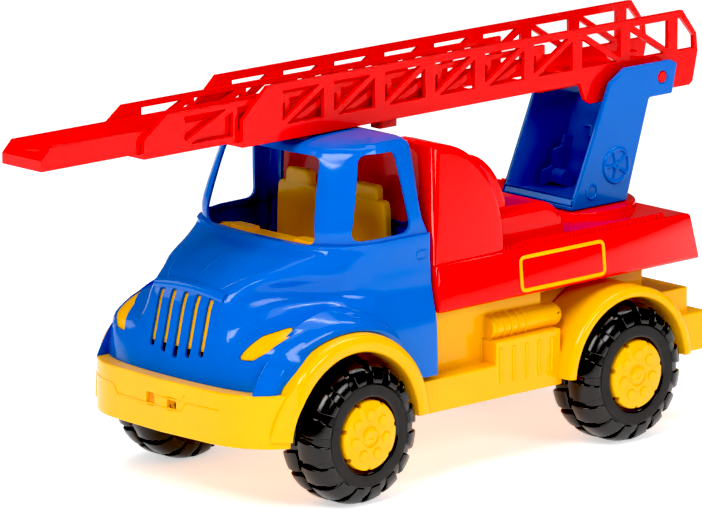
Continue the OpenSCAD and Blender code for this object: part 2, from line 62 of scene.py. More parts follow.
def toLinear(hexColour):
    parts = [int(hexColour[i:i + 2], 16) / 255 for i in (1, 3, 5)]
    return tuple(c / 12.92 if c < 0.04045 else ((c + 0.055) / 1.055) ** 2.4 for c in parts) + (1,)


def addNode(tree, kind, settings=None, wires=None):
    # wires: socket name or number -> a (node, output) pair to link, or a plain value
    node = tree.nodes.new(kind)
    for key, value in (settings or {}).items():
        setattr(node, key, value)
    for key, value in (wires or {}).items():
        if isinstance(value, tuple) and isinstance(value[0], bpy.types.Node):
            tree.links.new(value[0].outputs[value[1]], node.inputs[key])
        else:
            node.inputs[key].default_value = value
    return node


def setTones(ramp, deep, pale):
    for element, colour in zip(ramp.color_ramp.elements, (deep, pale)):
        element.color = toLinear(colour)


def newMaterial(name):
    material = bpy.data.materials.new(name)
    material.use_nodes = True
    material.node_tree.nodes.clear()
    return material, material.node_tree


def mouldedPlastic(name, look):
    # Injection-moulded polypropylene: saturated pigment right through, glossy mould finish
    material, tree = newMaterial(name)
    place = addNode(tree, "ShaderNodeTexCoord")
    # cloudy pigment streaks about 18 mm long, drawn out along the flow
    flow = addNode(tree, "ShaderNodeMapping", wires={"Vector": (place, "Object"), "Scale": (1, 0.45, 1)})
    streaks = addNode(tree, "ShaderNodeTexNoise", wires={
        "Vector": (flow, "Vector"), "Scale": 1000 / 18, "Detail": 4, "Roughness": 0.6, "Distortion": 0.6})
    tone = addNode(tree, "ShaderNodeValToRGB", wires={"Fac": (streaks, "Fac")})
    tone.color_ramp.elements[0].position = 0.3
    tone.color_ramp.elements[1].position = 0.7
    setTones(tone, look["deep"], look["colour"])
    # handling haze in 6 mm patches lifts the roughness a little
    haze = addNode(tree, "ShaderNodeTexNoise", wires={
        "Vector": (place, "Object"), "Scale": 1000 / 6, "Detail": 6, "Roughness": 0.65})
    rough = addNode(tree, "ShaderNodeMapRange", wires={
        "Value": (haze, "Fac"), "From Min": 0.35, "From Max": 0.75,
        "To Min": look["roughness"], "To Max": look["roughness"] + 0.05})
    # orange peel of the polished mould: 1.6 mm waves, only microns high
    peel = addNode(tree, "ShaderNodeTexNoise", wires={
        "Vector": (place, "Object"), "Scale": 1000 / 1.6, "Detail": 2, "Roughness": 0.4})
    sink = addNode(tree, "ShaderNodeTexNoise", wires={
        "Vector": (place, "Object"), "Scale": 1000 / 22, "Detail": 1})
    # no moulded edge is sharper than a third of a millimetre
    edge = addNode(tree, "ShaderNodeBevel", {"samples": 4}, {"Radius": 0.00035})
    peelBump = addNode(tree, "ShaderNodeBump", wires={
        "Height": (peel, "Fac"), "Strength": look["peel"], "Distance": 0.00004, "Normal": (edge, "Normal")})
    sinkBump = addNode(tree, "ShaderNodeBump", wires={
        "Height": (sink, "Fac"), "Strength": 0.4, "Distance": 0.00012, "Normal": (peelBump, "Normal")})
    shader = addNode(tree, "ShaderNodeBsdfPrincipled", wires={
        "Base Color": (tone, "Color"), "Roughness": (rough, "Result"), "Normal": (sinkBump, "Normal"),
        "IOR": 1.49, "Specular IOR Level": 0.36, "Subsurface Weight": look["glow"],
        "Subsurface Scale": 0.002, "Subsurface Radius": look["glowDepth"]})
    addNode(tree, "ShaderNodeOutputMaterial", wires={"Surface": (shader, "BSDF")})
    return material


plasticLooks = {
    "yellow": {"colour": "#fbb800", "deep": "#f7b000", "roughness": 0.15, "peel": 0.2, "glow": 0.12,
               "glowDepth": (1.0, 0.7, 0.2)},
    "blue": {"colour": "#0068ce", "deep": "#0064c8", "roughness": 0.11, "peel": 0.15, "glow": 0.06,
             "glowDepth": (0.2, 0.5, 1.0)},
    "red": {"colour": "#ee0300", "deep": "#e80100", "roughness": 0.14, "peel": 0.15, "glow": 0.1,
            "glowDepth": (1.0, 0.2, 0.1)},
}
plastics = {colour: mouldedPlastic("moulded polypropylene " + colour, look)
            for colour, look in plasticLooks.items()}
yellowPlastic, bluePlastic, redPlastic = plastics.values()


def blownTyrePlastic():
    # Blow-moulded polyethylene: glossy where the mould was polished, satin on the side walls
    material, tree = newMaterial("blow-moulded polyethylene black")
    place = addNode(tree, "ShaderNodeTexCoord")
    satin = addNode(tree, "ShaderNodeAttribute", {"attribute_name": "satin"})
    grit = addNode(tree, "ShaderNodeTexNoise", wires={
        "Vector": (place, "Object"), "Scale": 1000 / 0.9, "Detail": 3, "Roughness": 0.7})
    # spark-eroded side wall: 0.9 mm grain
    grain = addNode(tree, "ShaderNodeMath", {"operation": "MULTIPLY"}, {0: (grit, "Fac"), 1: (satin, "Fac")})
    bump = addNode(tree, "ShaderNodeBump", wires={
        "Height": (grain, "Value"), "Strength": 0.5, "Distance": 0.00012})
    scuff = addNode(tree, "ShaderNodeTexNoise", wires={
        "Vector": (place, "Object"), "Scale": 1000 / 7, "Detail": 7, "Roughness": 0.7})
    scuffed = addNode(tree, "ShaderNodeMapRange", wires={
        "Value": (scuff, "Fac"), "From Min": 0.4, "From Max": 0.7, "To Min": 0.0, "To Max": 0.12})
    base = addNode(tree, "ShaderNodeMapRange", wires={"Value": (satin, "Fac"), "To Min": 0.17, "To Max": 0.5})
    rough = addNode(tree, "ShaderNodeMath", {"operation": "ADD"}, {
        0: (base, "Result"), 1: (scuffed, "Result")})
    tone = addNode(tree, "ShaderNodeValToRGB", wires={"Fac": (scuff, "Fac")})
    setTones(tone, "#0b0a0a", "#1b1918")
    shader = addNode(tree, "ShaderNodeBsdfPrincipled", wires={
        "Base Color": (tone, "Color"), "Roughness": (rough, "Value"), "Normal": (bump, "Normal"),
        "IOR": 1.51})
    addNode(tree, "ShaderNodeOutputMaterial", wires={"Surface": (shader, "BSDF")})
    return material


def drawnSteel():
    # Drawn mild steel rod: fine lines along its length
    material, tree = newMaterial("drawn steel rod")
    place = addNode(tree, "ShaderNodeTexCoord")
    along = addNode(tree, "ShaderNodeMapping", wires={"Vector": (place, "Object"), "Scale": (0.02, 1, 1)})
    lines = addNode(tree, "ShaderNodeTexNoise", wires={
        "Vector": (along, "Vector"), "Scale": 1000 / 0.3, "Detail": 3, "Roughness": 0.6})
    rough = addNode(tree, "ShaderNodeMapRange", wires={
        "Value": (lines, "Fac"), "To Min": 0.25, "To Max": 0.45})
    bump = addNode(tree, "ShaderNodeBump", wires={
        "Height": (lines, "Fac"), "Strength": 0.3, "Distance": 0.00003})
    tone = addNode(tree, "ShaderNodeValToRGB", wires={"Fac": (lines, "Fac")})
    setTones(tone, "#8f9093", "#c3c4c6")
    shader = addNode(tree, "ShaderNodeBsdfPrincipled", wires={
        "Base Color": (tone, "Color"), "Metallic": 1.0, "Roughness": (rough, "Result"),
        "Normal": (bump, "Normal")})
    addNode(tree, "ShaderNodeOutputMaterial", wires={"Surface": (shader, "BSDF")})
    return material


tyrePlastic = blownTyrePlastic()
axleSteel = drawnSteel()
print("materials ready")


def newObject(name, mesh, material=None):
    piece = bpy.data.objects.new(name, mesh)
    bpy.context.scene.collection.objects.link(piece)
    if material:
        mesh.materials.clear()
        mesh.materials.append(material)
    return piece


def faced(mesh, smooth=True, merge=False):
    # faces pointing outwards, and points that coincide made one
    shape = bmesh.new()
    shape.from_mesh(mesh)
    if merge:
        bmesh.ops.remove_doubles(shape, verts=shape.verts, dist=0.000002)
    bmesh.ops.recalc_face_normals(shape, faces=shape.faces)
    for face in shape.faces:
        face.smooth = smooth
    shape.to_mesh(mesh)
    shape.free()
    return mesh


def fromPoints(name, points, faces, material, smooth=True, shift=True):
    # points are millimetres from the front axle, or from the origin for a piece that is repeated
    mesh = bpy.data.meshes.new(name)
    extra = axleShift if shift else 0
    mesh.from_pydata([(x / 1000, (y + extra) / 1000, z / 1000) for x, y, z in points], [], faces)
    return newObject(name, faced(mesh, smooth, merge=True), material)


def frozen(piece):
    # replaces the piece's mesh by what its modifiers make of it
    bpy.context.view_layer.update()
    graph = bpy.context.evaluated_depsgraph_get()
    mesh = bpy.data.meshes.new_from_object(piece.evaluated_get(graph), preserve_all_data_layers=True,
                                           depsgraph=graph)
    piece.modifiers.clear()
    old = piece.data
    piece.data = mesh
    mesh.name = piece.name
    if old.users == 0:
        bpy.data.meshes.remove(old)
    return piece


def rounded(piece, width, steps=2, angle=32):
    bevel = piece.modifiers.new("edges", "BEVEL")
    bevel.width = width / 1000
    bevel.segments = steps
    bevel.limit_method = "ANGLE"
    bevel.angle_limit = radians(angle)
    bevel.use_clamp_overlap = False
    bevel.harden_normals = True
    bevel.miter_outer = "MITER_ARC"
    return frozen(piece)


def thickened(piece, depth):
    # gives a skin a wall on its inner side
    wall = piece.modifiers.new("wall", "SOLIDIFY")
    wall.thickness = depth / 1000
    wall.offset = -1
    return frozen(piece)


def combined(piece, others, operation="DIFFERENCE"):
    # cuts away, joins or keeps the overlap with each of the others
    for other in others:
        change = piece.modifiers.new("change", "BOOLEAN")
        change.solver = "EXACT"
        change.operation = operation
        change.object = other
    frozen(piece)
    for other in others:
        bpy.data.objects.remove(other)
    return piece


def joined(name, pieces):
    # one mesh from several, keeping each one's material
    shape = bmesh.new()
    materials = []
    for piece in pieces:
        for material in piece.data.materials:
            if material not in materials:
                materials.append(material)
    target = bpy.data.meshes.new(name)
    for material in materials:
        target.materials.append(material)
    for piece in pieces:
        order = [materials.index(m) for m in piece.data.materials]
        before = len(shape.faces)
        shape.from_mesh(piece.data)
        shape.faces.ensure_lookup_table()
        for face in shape.faces[before:]:
            face.material_index = order[face.material_index] if order else 0
    shape.to_mesh(target)
    shape.free()
    for piece in pieces:
        bpy.data.objects.remove(piece)
    return newObject(name, target)


def wallBetween(rows, count, wrap=False):
    # four-sided faces between rows of points that are each a closed ring of count points
    faces = []
    for k in range(rows if wrap else rows - 1):
        low, high = k * count, (k + 1) % rows * count
        for i in range(count):
            j = (i + 1) % count
            faces.append((low + i, low + j, high + j, high + i))
    return faces


def smoothTo(piece, angle):
    # smooth shading up to an edge angle in degrees
    for face in piece.data.polygons:
        face.use_smooth = True
    piece.data.set_sharp_from_angle(angle=radians(angle))


def rectangle(x0, x1, y0, y1):
    return [(x0, y0), (x1, y0), (x1, y1), (x0, y1)]


def circle(radius, steps, middle=(0, 0)):
    turns = [2 * pi * k / steps for k in range(steps)]
    return [(middle[0] + radius * cos(turn), middle[1] + radius * sin(turn)) for turn in turns]


def prism(name, outline, axis, low, high, material=None):
    # outline is (y, z) for axis x, (x, z) for axis y and (x, y) for axis z
    def put(a, b, c):
        return {"x": (c, a, b), "y": (a, c, b), "z": (a, b, c)}[axis]
    count = len(outline)
    points = [put(a, b, low) for a, b in outline] + [put(a, b, high) for a, b in outline]
    faces = [tuple(range(count)), tuple(range(2 * count - 1, count - 1, -1))]
    faces += [(i, (i + 1) % count, (i + 1) % count + count, i + count) for i in range(count)]
    return fromPoints(name, points, faces, material, smooth=False)


def filleted(outline, radius, steps=5):
    # rounds each corner of a closed outline
    result = []
    count = len(outline)
    for i in range(count):
        here = Vector(outline[i])
        back = Vector(outline[i - 1]) - here
        ahead = Vector(outline[(i + 1) % count]) - here
        half = pi - back.angle(ahead)
        reach = min(radius * tan(half / 2), 0.45 * back.length, 0.45 * ahead.length)
        start, end = here + back.normalized() * reach, here + ahead.normalized() * reach
        for k in range(steps + 1):
            t = k / steps
            result.append(tuple((1 - t) ** 2 * start + 2 * t * (1 - t) * here + t * t * end))
    return result


def drawnIn(outline, inset):
    # a closed outline with every edge moved inwards
    area = sum(a[0] * b[1] - b[0] * a[1] for a, b in zip(outline, outline[1:] + outline[:1]))
    turn = 1 if area > 0 else -1
    result = []
    for i, here in enumerate(outline):
        here = Vector(here)
        before = (here - Vector(outline[i - 1])).normalized()
        after = (Vector(outline[(i + 1) % len(outline)]) - here).normalized()
        normals = Vector((-before.y, before.x)) * turn, Vector((-after.y, after.x)) * turn
        reach = max(0.3, 1 + normals[0].dot(normals[1]))
        result.append(tuple(here + (normals[0] + normals[1]) * inset / reach))
    return result


def pillow(name, outline, half, radius, material, steps=6):
    # a block across X whose two sides are rounded into its outline
    rows = []
    for k in range(steps + 1):
        turn = pi / 2 * k / steps
        rows.append((-half + radius * (1 - sin(turn)), radius * (1 - cos(turn))))
    rows = [(x, inset) for x, inset in reversed(rows)]
    rows += [(-x, inset) for x, inset in reversed(rows)]
    count = len(outline)
    points = []
    for x, inset in rows:
        points += [(x, y, z) for y, z in (drawnIn(outline, inset) if inset > 0.001 else outline)]
    faces = wallBetween(len(rows), count)
    faces += [tuple(range(count)), tuple(range(len(points) - count, len(points)))]
    return fromPoints(name, points, faces, material)


def lathe(name, profile, steps, material, at=(0, 0, 0), side=1):
    # profile holds (radius, distance along X); a closed ring of points makes a solid ring
    points = []
    for k in range(steps):
        turn = 2 * pi * k / steps
        for r, x in profile:
            points.append((at[0] + side * x, at[1] + r * cos(turn), at[2] + r * sin(turn)))
    return fromPoints(name, points, wallBetween(steps, len(profile), wrap=True), material)


def sector(name, profile, start, end, steps, material, at, side=1, swell=None):
    # part of a turned ring; profile holds (radius, X), angles run from +Y up and over
    points = []
    count = len(profile)
    root = min(x for r, x in profile)
    for k in range(steps + 1):
        turn = radians(start + (end - start) * k / steps)
        share = swell(k / steps) if swell else 1
        for r, x in profile:
            points.append((side * (root + (x - root) * share),
                           at[0] + r * cos(turn), at[1] + r * sin(turn)))
    faces = wallBetween(steps + 1, count)
    faces += [tuple(range(count)), tuple(range(steps * count, (steps + 1) * count))]
    return fromPoints(name, points, faces, material)


def curveThrough(points, steps):
    # Catmull-Rom through every point, open at both ends
    result = []
    points = [Vector(p) for p in points]
    ends = [2 * points[0] - points[1]] + points + [2 * points[-1] - points[-2]]
    for i in range(1, len(ends) - 2):
        a, b, c, d = ends[i - 1:i + 3]
        for k in range(steps):
            t = k / steps
            result.append(0.5 * (2 * b + (c - a) * t + (2 * a - 5 * b + 4 * c - d) * t ** 2
                                 + (3 * b - a - 3 * c + d) * t ** 3))
    result.append(ends[-2])
    return result


def cadCopy(node, name, material):
    # a merged copy of a CAD node's mesh, with its flat faces made whole
    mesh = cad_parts[node].data.copy()
    shape = bmesh.new()
    shape.from_mesh(mesh)
    bmesh.ops.remove_doubles(shape, verts=shape.verts, dist=0.000004)
    bmesh.ops.dissolve_limit(shape, angle_limit=radians(0.8), verts=shape.verts, edges=shape.edges,
                             use_dissolve_boundaries=False)
    for face in shape.faces:
        face.smooth = True
    for edge in shape.edges:
        edge.smooth = len(edge.link_faces) < 2 or edge.calc_face_angle(0) < radians(32)
    shape.to_mesh(mesh)
    shape.free()
    if "custom_normal" in mesh.attributes:
        mesh.attributes.remove(mesh.attributes["custom_normal"])
    return newObject(name, mesh, material)


def bead(name, path, radius, material, closed=False, shift=True, resolution=3):
    # a round moulded line along points in millimetres
    curve = bpy.data.curves.new(name, "CURVE")
    curve.dimensions = "3D"
    curve.bevel_depth = radius / 1000
    curve.bevel_resolution = resolution
    curve.use_fill_caps = not closed
    line = curve.splines.new("POLY")
    line.points.add(len(path) - 1)
    line.use_cyclic_u = closed
    extra = axleShift if shift else 0
    for point, (x, y, z) in zip(line.points, path):
        point.co = (x / 1000, (y + extra) / 1000, z / 1000, 1)
    holder = bpy.data.objects.new(name, curve)
    bpy.context.scene.collection.objects.link(holder)
    bpy.context.view_layer.update()
    mesh = bpy.data.meshes.new_from_object(holder.evaluated_get(bpy.context.evaluated_depsgraph_get()))
    bpy.data.objects.remove(holder)
    bpy.data.curves.remove(curve)
    return newObject(name, faced(mesh), material)


def surfaceOf(piece):
    # finds where a line in millimetres first meets the piece
    shape = bmesh.new()
    shape.from_mesh(piece.data)
    tree = BVHTree.FromBMesh(shape)
    shape.free()

    def meet(start, direction):
        x, y, z = start
        hit = tree.ray_cast(Vector((x, y + axleShift, z)) / 1000, Vector(direction))[0]
        return (hit.x * 1000, hit.y * 1000 - axleShift, hit.z * 1000) if hit else None
    return meet


def softBlock(name, outline, axis, low, high, material, corner, edge):
    # a block with rounded outline and rounded edges
    block = prism(name, filleted(outline, corner), axis, low, high, material)
    return rounded(block, edge, steps=3)


def show(piece, body, nodes):
    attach(piece, body)
    if nodes:
        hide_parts(*nodes)
    return piece


def repeatTree():
    # Geometry Nodes: copies of one piece, each a step and a turn on from the last
    tree = bpy.data.node_groups.new("repeatedPiece", "GeometryNodeTree")
    for name, kind in (("Piece", "Object"), ("Count", "Int"), ("Start", "Vector"), ("Step", "Vector"),
                       ("First Turn", "Vector"), ("Turn", "Vector"), ("Finish", "Material")):
        tree.interface.new_socket(name=name, in_out="INPUT", socket_type="NodeSocket" + kind)
    tree.interface.new_socket(name="Geometry", in_out="OUTPUT", socket_type="NodeSocketGeometry")
    given = addNode(tree, "NodeGroupInput")
    index = addNode(tree, "GeometryNodeInputIndex")
    step = addNode(tree, "ShaderNodeVectorMath", {"operation": "SCALE"}, {
        0: (given, "Step"), "Scale": (index, 0)})
    place = addNode(tree, "ShaderNodeVectorMath", {"operation": "ADD"}, {0: (given, "Start"), 1: (step, 0)})
    turn = addNode(tree, "ShaderNodeVectorMath", {"operation": "SCALE"}, {
        0: (given, "Turn"), "Scale": (index, 0)})
    turned = addNode(tree, "ShaderNodeVectorMath", {"operation": "ADD"}, {
        0: (given, "First Turn"), 1: (turn, 0)})
    spin = addNode(tree, "FunctionNodeEulerToRotation", wires={0: (turned, 0)})
    spots = addNode(tree, "GeometryNodePoints", wires={"Count": (given, "Count"), "Position": (place, 0)})
    source = addNode(tree, "GeometryNodeObjectInfo", wires={"Object": (given, "Piece")})
    copies = addNode(tree, "GeometryNodeInstanceOnPoints", wires={
        "Points": (spots, 0), "Instance": (source, "Geometry"), "Rotation": (spin, 0)})
    solid = addNode(tree, "GeometryNodeRealizeInstances", wires={"Geometry": (copies, 0)})
    coated = addNode(tree, "GeometryNodeSetMaterial", wires={
        "Geometry": (solid, 0), "Material": (given, "Finish")})
    addNode(tree, "NodeGroupOutput", wires={"Geometry": (coated, 0)})
    return tree


repeatedPiece = repeatTree()


def repeated(name, pattern, count, material, start, step=(0, 0, 0), firstTurn=0.0, turn=0.0):
    # pattern is a piece at the origin; start and step are millimetres, turns are radians about X
    holder = newObject(name, bpy.data.meshes.new(name))
    holder.data.materials.append(material)
    nodes = holder.modifiers.new("copies", "NODES")
    nodes.node_group = repeatedPiece
    values = {"Piece": pattern, "Count": count,
              "Start": (start[0] / 1000, (start[1] + axleShift) / 1000, start[2] / 1000),
              "Step": tuple(distance / 1000 for distance in step),
              "First Turn": (firstTurn, 0, 0), "Turn": (turn, 0, 0), "Finish": material}
    for item in repeatedPiece.interface.items_tree:
        if item.in_out == "INPUT":
            nodes[item.identifier] = values[item.name]
    return frozen(holder)


print("helpers ready")


tyreSize = {"lugs": 16, "treadR": 30.0, "grooveR": 28.2, "halfTread": 9.0, "halfWidth": 12.6,
            "flatOuter": 21.6, "recessR": 16.2, "hubR": 14.8, "lugAngle": 18.0, "lean": 3.0, "lugEdge": 0.75,
            "firstLug": 0.1, "steps": 96}
hubSize = {"face": 13.1, "back": 10.8, "inner": -10.6, "barrelEnd": -13.6, "bore": 2.1, "barrelR": 4.6,
           "rim": 1.8, "bumps": 7, "bumpRing": 8.9, "bumpR": 2.4, "boss": 3.3, "notchR": 1.1,
           "firstNotch": 0.42}


def tyreLug(side):
    # one lug from the middle of the tread over the shoulder to the flat side wall
    s = tyreSize
    path = [(0.6, s["treadR"] - 0.5, 0.86), (1.4, s["treadR"], 1.0), (5.5, s["treadR"], 1.0),
            (s["halfTread"] - 0.6, s["treadR"] - 0.7, 0.97), (10.7, 27.9, 0.92), (12.0, 25.4, 0.84),
            (12.65, 23.2, 0.76), (12.55, s["flatOuter"] + 0.3, 0.7)]
    points = []
    lean = radians(s["lean"])
    for k, (x, r, wide) in enumerate(path):
        half = radians(s["lugAngle"] / 2) * wide
        sunkX, sunkR = (x, r - 3.2) if k < 4 else (x - 2.2, r - 1.6)
        centre = lean * x / s["halfTread"]
        crown = r + 0.04
        section = [(sunkX, sunkR, -1), (x, r, -1), (x, crown, -0.4), (x, crown, 0.4), (x, r, 1),
                   (sunkX, sunkR, 1)]
        for px, pr, turn in section:
            angle = centre + half * turn
            points.append((side * px, -pr * sin(angle), pr * cos(angle)))
    count = len(section)
    faces = wallBetween(len(path), count)
    faces += [tuple(range(count)), tuple(range(len(points) - 1, len(points) - count - 1, -1))]
    lug = fromPoints("lugPattern", points, faces, tyrePlastic, shift=False)
    return rounded(lug, s["lugEdge"], steps=3, angle=38)


def satinMark(piece, centre):
    # flat side walls are satin, everything else glossy
    s = tyreSize
    values = []
    for vertex in piece.data.vertices:
        across = abs(vertex.co.x * 1000 - centre[0])
        radius = hypot(vertex.co.y * 1000 - axleShift - centre[1], vertex.co.z * 1000 - centre[2])
        flat = across > s["halfWidth"] - 0.7 and s["recessR"] + 0.6 < radius < s["flatOuter"] + 0.4
        values.append(1.0 if flat else 0.0)
    mark = piece.data.attributes.new("satin", "FLOAT", "POINT")
    mark.data.foreach_set("value", values)


def makeTyre(name, body, node, side, y):
    s = tyreSize
    outer = [(s["hubR"], 9.6), (s["hubR"] + 0.1, 10.4), (s["hubR"] + 0.4, 11.2), (s["recessR"], 12.25),
             (s["recessR"] + 0.8, 12.6), (s["flatOuter"] - 0.5, 12.6), (s["flatOuter"], 12.45), (24.4, 11.6),
             (26.6, 10.1), (s["grooveR"] - 0.4, 8.2), (s["grooveR"], 5.0)]
    smoothOuter = [(v.x, v.y) for v in curveThrough([(r, x, 0) for r, x in outer], 3)]
    profile = smoothOuter + [(s["grooveR"], 1.2), (s["grooveR"], -1.2)]
    profile += [(r, -x) for r, x in reversed(smoothOuter)]
    centre = (side * wheelX, y, axleZ)
    pieces = [lathe("carcass", profile, s["steps"], tyrePlastic, centre)]
    pitch = 2 * pi / s["lugs"]
    # the two rows of lugs are half a pitch apart
    for half, offset in ((1, 0), (-1, pitch / 2)):
        pattern = tyreLug(half)
        pieces.append(repeated("lugs", pattern, s["lugs"], tyrePlastic, centre,
                               firstTurn=offset + s["firstLug"], turn=pitch))
        bpy.data.objects.remove(pattern)
    tyre = joined(name, pieces)
    satinMark(tyre, centre)
    show(tyre, body, [node])


def hubPattern(name, profile, steps, radius, side):
    # a turned piece standing above the wheel's middle, to be repeated round it
    return lathe(name, profile, steps, yellowPlastic, (0, -axleShift, radius), side)


def makeHub(name, body, node, side, y):
    h = hubSize
    r = tyreSize["hubR"]
    face, back, barrel, rim = h["face"], h["back"], h["barrelR"], r - h["rim"]
    profile = [(0, back - 1), (h["bore"], back - 1), (h["bore"], h["barrelEnd"]), (barrel, h["barrelEnd"]),
               (barrel, back), (rim, back), (rim, h["inner"]), (r, h["inner"]), (r, face - 0.9),
               (r - 0.3, face - 0.3), (r - 1.0, face), (5.0, face + 0.05), (4.6, face - 0.3),
               (3.9, face - 0.3), (h["boss"], face + 0.35), (2.9, face + 0.55), (1.6, face + 0.6),
               (1.3, face + 0.35), (0, face + 0.3)]
    centre = (side * wheelX, y, axleZ)
    disc = lathe("disc", profile, 72, yellowPlastic, centre, side)
    pitch = 2 * pi / h["bumps"]
    notch = hubPattern("notch", [(0, 8), (h["notchR"], 8), (h["notchR"], 16), (0, 16)], 16, r - 0.1, side)
    notches = repeated("notches", notch, h["bumps"], yellowPlastic, centre,
                       firstTurn=h["firstNotch"], turn=pitch)
    combined(disc, [notches])
    dome = [(0, 11), (h["bumpR"], 11), (h["bumpR"], face + 0.25), (h["bumpR"] - 0.35, face + 0.6),
            (0, face + 0.75)]
    bump = hubPattern("bump", dome, 24, h["bumpRing"], side)
    bumps = repeated("bumps", bump, h["bumps"], yellowPlastic, centre, turn=pitch)
    for pattern in (notch, bump):
        bpy.data.objects.remove(pattern)
    hub = joined(name, [disc, bumps])
    smoothTo(hub, 35)
    show(hub, body, [node])


for place, y in (("front", 0), ("rear", wheelbase)):
    for sideName, side in (("left", 1), ("right", -1)):
        wheel = place + "_" + sideName
        makeTyre("tyre" + place.title() + sideName.title(), "wheel_" + wheel, "tyre_" + wheel, side, y)
        makeHub("hub" + place.title() + sideName.title(), "wheel_" + wheel, "hub_" + wheel, side, y)
print("wheels made")


cabSize = {"wall": 1.4, "bumperTop": 52.0, "belt": 105.5, "rear": 50.0, "sill": 44.0,
           "archY": -3.0, "archR": 42.4, "slotWide": 3.0, "slotPitch": 7.5, "slotTop": 86.6, "corner": 4.5,
           "panelDepth": 1.2}
roofZ = boxOf("cab_shell")[1].z

# Waterlines: height from 0 at the bumper to 1 at the window sills and 2 at the roof,
# then the outline from the middle of the front round to the door
cabLines = [
    (-0.15, [(0, -52.5), (15, -52.2), (25, -51.5), (34, -50), (44, -46.5), (53, -40),
             (58, -30), (58, -10), (55, 20)]),
    (0.18, [(0, -49.3), (15, -48.8), (25, -48), (34, -47), (44, -44.5), (52, -38.5),
            (56.5, -28), (56, -8), (54.5, 20)]),
    (0.32, [(0, -47.6), (15, -47), (24, -46.2), (30, -44.5), (38, -43), (46, -40.8),
            (51.5, -35), (55, -20), (54, 20)]),
    (0.45, [(0, -46), (15, -45.3), (23.5, -44), (27.5, -40), (32, -35), (40, -32),
            (47, -28), (52, -17), (52.5, 20)]),
    (0.58, [(0, -44), (15, -43.4), (22.5, -42), (26, -37.5), (30, -29), (35, -19),
            (41, -8), (47.5, 3), (51, 20)]),
    (0.69, [(0, -40.6), (14, -39.8), (21.5, -38.5), (25.5, -35), (29, -27), (33.5, -17),
            (39, -7), (46, 4), (50.5, 20)]),
    (0.79, [(0, -32.6), (12, -31.8), (20, -30.5), (26, -28.5), (30.5, -25), (35, -17),
            (40, -7), (46, 3), (50, 20)]),
    (0.9, [(0, -20.5), (12, -19.5), (20, -18), (27, -15.5), (33, -12), (38, -7),
           (42, -1), (46.5, 6), (50, 20)]),
    (0.953, [(0, -11), (14, -10), (22, -8.5), (29, -6.5), (34, -4.5), (38.7, -2.3),
             (43, 2), (47, 9), (50, 20)]),
    (1, [(0, -6), (14, -5.5), (24, -4.5), (33, -3.2), (38.7, -1.8), (42.5, 2),
         (45.5, 6), (48, 12), (49.8, 20)])]
greenhouseLines = [
    (1, [(0, -4), (14, -3.5), (24, -2.6), (32, -1.6), (37, 0), (41, 3.3),
         (44, 7.3), (46.8, 13), (48.4, 20)]),
    (1.24, [(0, -3), (14, -2.5), (24, -1.8), (32, -0.8), (37, 0.7), (41, 4),
            (44, 8), (46.5, 13.5), (48, 20)]),
    (1.86, [(0, 3), (14, 3.5), (22, 4.5), (27, 5.5), (31, 7.5), (35, 10.5), (39, 14), (42, 18), (44, 24)]),
    (1.97, [(0, 7), (12, 7.5), (20, 8.5), (25, 10.5), (29, 13), (33, 15.5), (37, 19), (40, 22), (42, 26)]),
    (2, [(0, 12), (9, 12.5), (16, 13.5), (20, 14.5), (24, 16.5), (28, 19),
         (32, 21.5), (35.5, 24.5), (38, 28)])]


def cabHeight(t):
    c = cabSize
    if t < 1:
        return c["bumperTop"] + t * (c["belt"] - c["bumperTop"])
    return c["belt"] + (t - 1) * (roofZ - c["belt"])


def cabRing(t, line, inset=0.0):
    # whole outline at one height, smooth round the front and with rounded rear corners
    mirrored = [(-line[1][0], line[1][1], 0)] + [(x, y, 0) for x, y in line]
    half = [(v.x, v.y) for v in curveThrough(mirrored, 3)][3:]
    half[0] = (0, half[0][1])
    above = max(0, t - 1)
    rear = cabSize["rear"] - (2.5 + 3 * above if above else 0) - 15 * max(0, above - 0.9)
    corner = 3.5 if above else 2.4
    x = half[-1][0]
    half += [(x, (half[-1][1] + rear - corner) / 2)]
    half += [(x - corner + corner * cos(turn), rear - corner + corner * sin(turn))
             for turn in [k * pi / 8 for k in range(5)]]
    half += [((x - corner) * k / 4, rear) for k in (3, 2, 1, 0)]
    ring = half + [(-px, py) for px, py in reversed(half[1:-1])]
    if inset:
        drawn = []
        for i, (px, py) in enumerate(ring):
            ax, ay = ring[i - 1]
            bx, by = ring[(i + 1) % len(ring)]
            reach = hypot(bx - ax, by - ay)
            drawn.append((px - inset * (by - ay) / reach, py + inset * (bx - ax) / reach))
        ring = drawn
    return ring


def cabRows(lines, inset=0.0, steps=4):
    # waterlines with smooth ones between them, as rings of 3-D points
    rings = [[(x, y, cabHeight(t)) for x, y in cabRing(t, line, inset)] for t, line in lines]
    columns = [curveThrough([ring[i] for ring in rings], steps) for i in range(len(rings[0]))]
    return [[tuple(column[k]) for column in columns] for k in range(len(columns[0]))]


def loftOf(name, rows, material, closeLow=False):
    count = len(rows[0])
    points = [p for row in rows for p in row]
    faces = wallBetween(len(rows), count)
    if closeLow:
        faces.append(tuple(range(count)))
    faces.append(tuple(range(len(points) - 1, len(points) - count - 1, -1)))
    return fromPoints(name, points, faces, material)


def outerRows(inset=0.0):
    rows = cabRows(cabLines, inset) + cabRows(greenhouseLines, inset)
    top = rows[-1]
    middleY = 30
    # the roof's crown
    for share, lift in ((0.8, 0.45), (0.45, 0.75), (0.1, 0.9)):
        rows.append([(x * share, middleY + (y - middleY) * share, roofZ + lift - inset) for x, y, z in top])
    return rows


def lampView(grow):
    t = cabSize["bumperTop"]
    points = [(34.6 - grow, t + 12.2 - grow), (42, t + 12.9 - grow), (47 + grow, t + 16.8 - grow),
              (49.6 + grow, t + 22.6), (46.2, t + 24.8 + grow), (39.5, t + 21.4 + grow)]
    return filleted(points, 1.6, 3)


